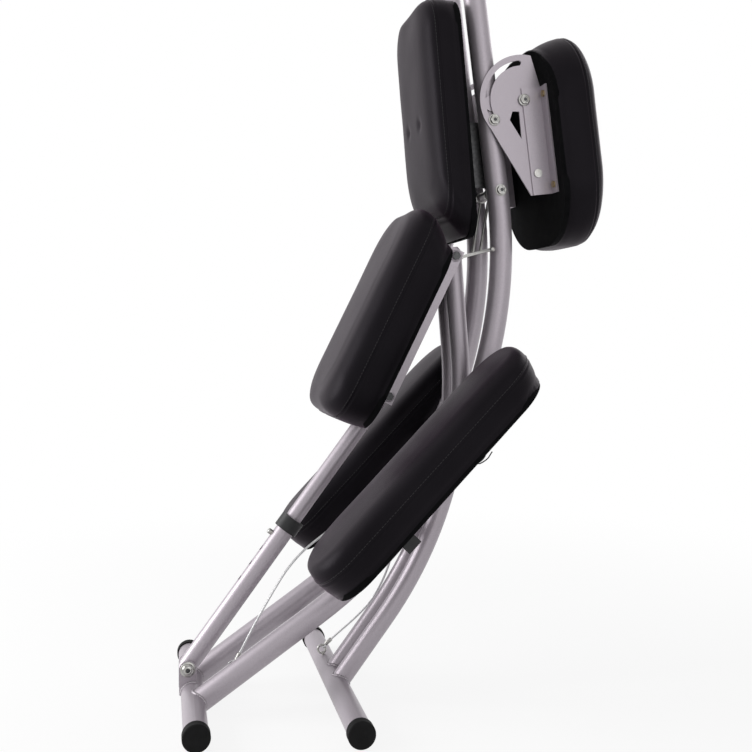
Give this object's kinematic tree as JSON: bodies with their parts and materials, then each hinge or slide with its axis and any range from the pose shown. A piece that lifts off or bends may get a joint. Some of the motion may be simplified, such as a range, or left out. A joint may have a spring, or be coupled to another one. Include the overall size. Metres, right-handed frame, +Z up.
{
  "type": "folding massage chair",
  "caption": "Folded massage chair: two crossed bent-tube frames on foot bars, padded seat, chest, arm and knee rests, and a telescopic seat strut.",
  "frame": {"origin": "on the floor under the middle of the folded chair", "axes": "+X the way the sitter faces, +Y the sitter's left, +Z up"},
  "size_m": [0.7107, 0.5302, 1.2436],
  "materials": {
    "powder_coat": "satin silver-grey powder coat",
    "zinc_steel": "bright zinc plating",
    "dark_steel": "black finish on bolts",
    "rubber_black": "matte moulded rubber",
    "plastic_black": "moulded plastic",
    "nylon": "natural nylon",
    "pad_cover": "soft black synthetic leather with sewn seams",
    "plywood": "board under black backing cloth",
    "cable_wire": "bare wire rope"
  },
  "bodies": {
    "main_frame": {"rear_foot_bar": "powder_coat", "rear_foot_caps": "rubber_black", "main_tube_right": "powder_coat", "main_tube_left": "powder_coat", "main_upright_right": "powder_coat", "main_upright_left": "powder_coat", "strut_clevis": "powder_coat", "foot_bolt": "zinc_steel", "frame_nuts": "zinc_steel", "pivot_axle": "zinc_steel", "upright_tie": "powder_coat", "frame_bolts": "zinc_steel", "chest_brackets": "dark_steel", "chest_board": "plywood", "chest_pad": "pad_cover", "board_screws": "zinc_steel", "armrest_ears": "powder_coat", "armrest_pivot_bolts": "zinc_steel", "knee_crossbar": "powder_coat", "knee_bar_caps": "plastic_black", "knee_board_right": "plywood", "knee_board_left": "plywood", "knee_pad_right": "pad_cover", "knee_pad_left": "pad_cover", "knee_brackets": "powder_coat", "face_rest_sockets": "plastic_black", "rear_cable_eye": "zinc_steel"},
    "leg_frame": {"front_foot_bar": "powder_coat", "front_foot_caps": "rubber_black", "leg_tube_right": "powder_coat", "leg_tube_left": "powder_coat", "pivot_sleeve": "powder_coat", "pivot_bushes": "nylon", "seat_spacer": "powder_coat", "seat_pivot_bolt": "dark_steel", "seat_pivot_nut": "dark_steel", "front_cable_eye": "zinc_steel", "limit_cable": "cable_wire"},
    "seat": {"seat_rail_right": "powder_coat", "seat_rail_left": "powder_coat", "seat_board": "plywood", "seat_pad": "pad_cover", "seat_screws": "zinc_steel", "strut_top_bolts": "dark_steel"},
    "strut_lower": {"strut_outer_tube": "powder_coat", "strut_collar": "plastic_black"},
    "strut_upper": {"strut_inner_tube": "powder_coat", "strut_top_sleeve": "powder_coat"},
    "button": {"height_button": "zinc_steel"},
    "armrest": {"sector_plate_right": "powder_coat", "sector_plate_left": "powder_coat", "arm_channel_right": "powder_coat", "arm_channel_left": "powder_coat", "armrest_board": "plywood", "armrest_pad": "pad_cover", "arm_rivets": "zinc_steel", "arm_screws": "zinc_steel"},
    "knob_right": {"knee_knob_right": "plastic_black"},
    "knob_left": {"knee_knob_left": "plastic_black"},
    "latch": {"fold_latch": "zinc_steel"}
  },
  "joints": [
    {"name": "fold", "type": "hinge", "parent": "main_frame", "child": "leg_frame", "pos_m": [0.11698, 0, 0.45337], "axis": [0, -1, 0], "range_deg": [0, 60], "deforming": ["limit_cable"]},
    {"name": "seat_tilt", "type": "hinge", "parent": "leg_frame", "child": "seat", "pos_m": [0.10736, 0, 0.74515], "axis": [0, -1, 0], "range_deg": [-129.1, 0]},
    {"name": "strut_swing", "type": "hinge", "parent": "main_frame", "child": "strut_lower", "pos_m": [-0.3413, 0, 0.0618], "axis": [0, -1, 0], "range_deg": [0, 43.65]},
    {"name": "seat_height", "type": "slide", "parent": "strut_lower", "child": "strut_upper", "axis": [0.5964, 0, 0.8027], "range_m": [-0.0909, 0], "deforming": ["height_button"]},
    {"name": "button_press", "type": "slide", "parent": "strut_upper", "child": "button", "axis": [0.8027, 0, -0.5964], "range_m": [0, 0.0095], "stiffness_N_per_m": 600, "springref_m": -0.004},
    {"name": "armrest_tilt", "type": "hinge", "parent": "main_frame", "child": "armrest", "pos_m": [0.2139, 0, 1.00641], "axis": [0, -1, 0], "range_deg": [0, 35]},
    {"name": "knob_right_turn", "type": "hinge", "parent": "main_frame", "child": "knob_right", "pos_m": [0.0961, -0.19, 0.42752], "axis": [-0.7193, 0, 0.6947], "continuous": true},
    {"name": "knob_left_turn", "type": "hinge", "parent": "main_frame", "child": "knob_left", "pos_m": [0.0961, 0.19, 0.42752], "axis": [-0.7193, 0, 0.6947], "continuous": true},
    {"name": "latch_swing", "type": "hinge", "parent": "main_frame", "child": "latch", "pos_m": [0.17624, 0, 0.855], "axis": [0, 1, 0], "range_deg": [0, 14]}
  ],
  "couplings": [
    {"joint": "seat_tilt", "follows": "fold", "ratio": -2.1433},
    {"joint": "strut_swing", "follows": "fold", "ratio": 0.71923}
  ]
}
